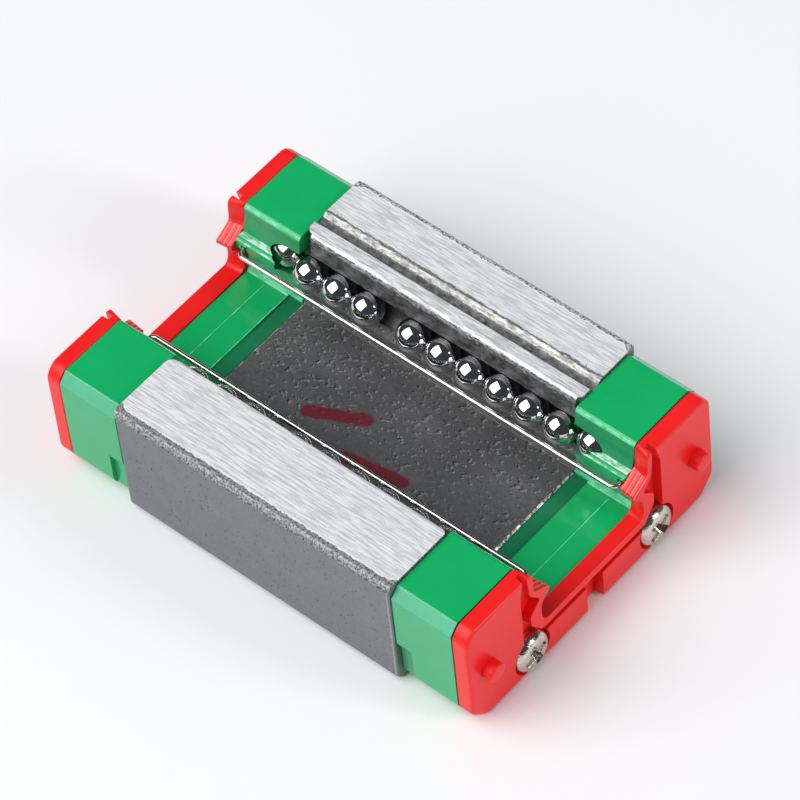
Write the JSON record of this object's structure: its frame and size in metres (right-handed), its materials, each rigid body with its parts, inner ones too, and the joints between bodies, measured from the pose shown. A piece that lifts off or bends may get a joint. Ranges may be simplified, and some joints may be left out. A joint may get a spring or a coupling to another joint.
{
  "type": "miniature linear guide carriage",
  "caption": "Miniature profile-rail carriage: steel saddle with recirculating ball circuits, plastic end caps, wiping end seals and ball-retaining wires, shown channel side up.",
  "frame": {"origin": "centre of the mounting face, which lies on the table", "axes": "+X along the rail, +Y across towards the leg with the grooved land, +Z away from the mounting face, out of the open rail channel"},
  "size_m": [0.0302, 0.02, 0.008],
  "materials": {
    "ground_steel": "ground lands and raceways, matte sides",
    "ball_steel": "polished",
    "wire_steel": "bright drawn wire",
    "green_plastic": "glossy moulded",
    "red_plastic": "satin moulded",
    "nickel_plate": "nickel plated"
  },
  "bodies": {
    "carriage": {"steel_block": "ground_steel", "front_end_cap": "green_plastic", "rear_end_cap": "green_plastic", "far_front_return_guide": "green_plastic", "far_rear_return_guide": "green_plastic", "near_front_return_guide": "green_plastic", "near_rear_return_guide": "green_plastic", "front_end_seal": "red_plastic", "rear_end_seal": "red_plastic", "far_ball_wire": "wire_steel", "near_ball_wire": "wire_steel", "far_front_screw": "nickel_plate", "far_rear_screw": "nickel_plate", "near_front_screw": "nickel_plate", "near_rear_screw": "nickel_plate"},
    "far_load_row": {"far_load_ball_1": "ball_steel", "far_load_ball_2": "ball_steel", "far_load_ball_3": "ball_steel", "far_load_ball_4": "ball_steel", "far_load_ball_5": "ball_steel", "far_load_ball_6": "ball_steel", "far_load_ball_7": "ball_steel", "far_load_ball_8": "ball_steel", "far_load_ball_9": "ball_steel"},
    "far_front_turn": {"far_front_turn_ball_1": "ball_steel", "far_front_turn_ball_2": "ball_steel"},
    "far_return_row": {"far_return_ball_1": "ball_steel", "far_return_ball_2": "ball_steel", "far_return_ball_3": "ball_steel", "far_return_ball_4": "ball_steel", "far_return_ball_5": "ball_steel", "far_return_ball_6": "ball_steel", "far_return_ball_7": "ball_steel", "far_return_ball_8": "ball_steel", "far_return_ball_9": "ball_steel"},
    "far_rear_turn": {"far_rear_turn_ball_1": "ball_steel", "far_rear_turn_ball_2": "ball_steel"},
    "near_load_row": {"near_load_ball_1": "ball_steel", "near_load_ball_2": "ball_steel", "near_load_ball_3": "ball_steel", "near_load_ball_4": "ball_steel", "near_load_ball_5": "ball_steel", "near_load_ball_6": "ball_steel", "near_load_ball_7": "ball_steel", "near_load_ball_8": "ball_steel", "near_load_ball_9": "ball_steel"},
    "near_front_turn": {"near_front_turn_ball_1": "ball_steel", "near_front_turn_ball_2": "ball_steel"},
    "near_return_row": {"near_return_ball_1": "ball_steel", "near_return_ball_2": "ball_steel", "near_return_ball_3": "ball_steel", "near_return_ball_4": "ball_steel", "near_return_ball_5": "ball_steel", "near_return_ball_6": "ball_steel", "near_return_ball_7": "ball_steel", "near_return_ball_8": "ball_steel", "near_return_ball_9": "ball_steel"},
    "near_rear_turn": {"near_rear_turn_ball_1": "ball_steel", "near_rear_turn_ball_2": "ball_steel"}
  },
  "joints": [
    {"name": "far_load_row_travel", "type": "slide", "parent": "carriage", "child": "far_load_row", "axis": [1, 0, 0], "range_m": [-0.001, 0.001]},
    {"name": "far_front_turn_travel", "type": "hinge", "parent": "carriage", "child": "far_front_turn", "pos_m": [0.0096, 0.0064, 0.0055], "axis": [0, 0, 1], "range_deg": [-36, 36]},
    {"name": "far_rear_turn_travel", "type": "hinge", "parent": "carriage", "child": "far_rear_turn", "pos_m": [-0.0096, 0.0064, 0.0055], "axis": [0, 0, 1], "range_deg": [-36, 36]},
    {"name": "far_return_row_travel", "type": "slide", "parent": "carriage", "child": "far_return_row", "axis": [1, 0, 0], "range_m": [-0.001, 0.001]},
    {"name": "near_load_row_travel", "type": "slide", "parent": "carriage", "child": "near_load_row", "axis": [1, 0, 0], "range_m": [-0.001, 0.001]},
    {"name": "near_front_turn_travel", "type": "hinge", "parent": "carriage", "child": "near_front_turn", "pos_m": [0.0096, -0.0064, 0.0055], "axis": [0, 0, 1], "range_deg": [-36, 36]},
    {"name": "near_rear_turn_travel", "type": "hinge", "parent": "carriage", "child": "near_rear_turn", "pos_m": [-0.0096, -0.0064, 0.0055], "axis": [0, 0, 1], "range_deg": [-36, 36]},
    {"name": "near_return_row_travel", "type": "slide", "parent": "carriage", "child": "near_return_row", "axis": [1, 0, 0], "range_m": [-0.001, 0.001]}
  ],
  "couplings": [
    {"joint": "far_front_turn_travel", "follows": "far_load_row_travel", "rad_per_m": 625},
    {"joint": "far_rear_turn_travel", "follows": "far_load_row_travel", "rad_per_m": 625},
    {"joint": "far_return_row_travel", "follows": "far_load_row_travel", "ratio": -1},
    {"joint": "near_front_turn_travel", "follows": "near_load_row_travel", "rad_per_m": -625},
    {"joint": "near_rear_turn_travel", "follows": "near_load_row_travel", "rad_per_m": -625},
    {"joint": "near_return_row_travel", "follows": "near_load_row_travel", "ratio": -1}
  ]
}
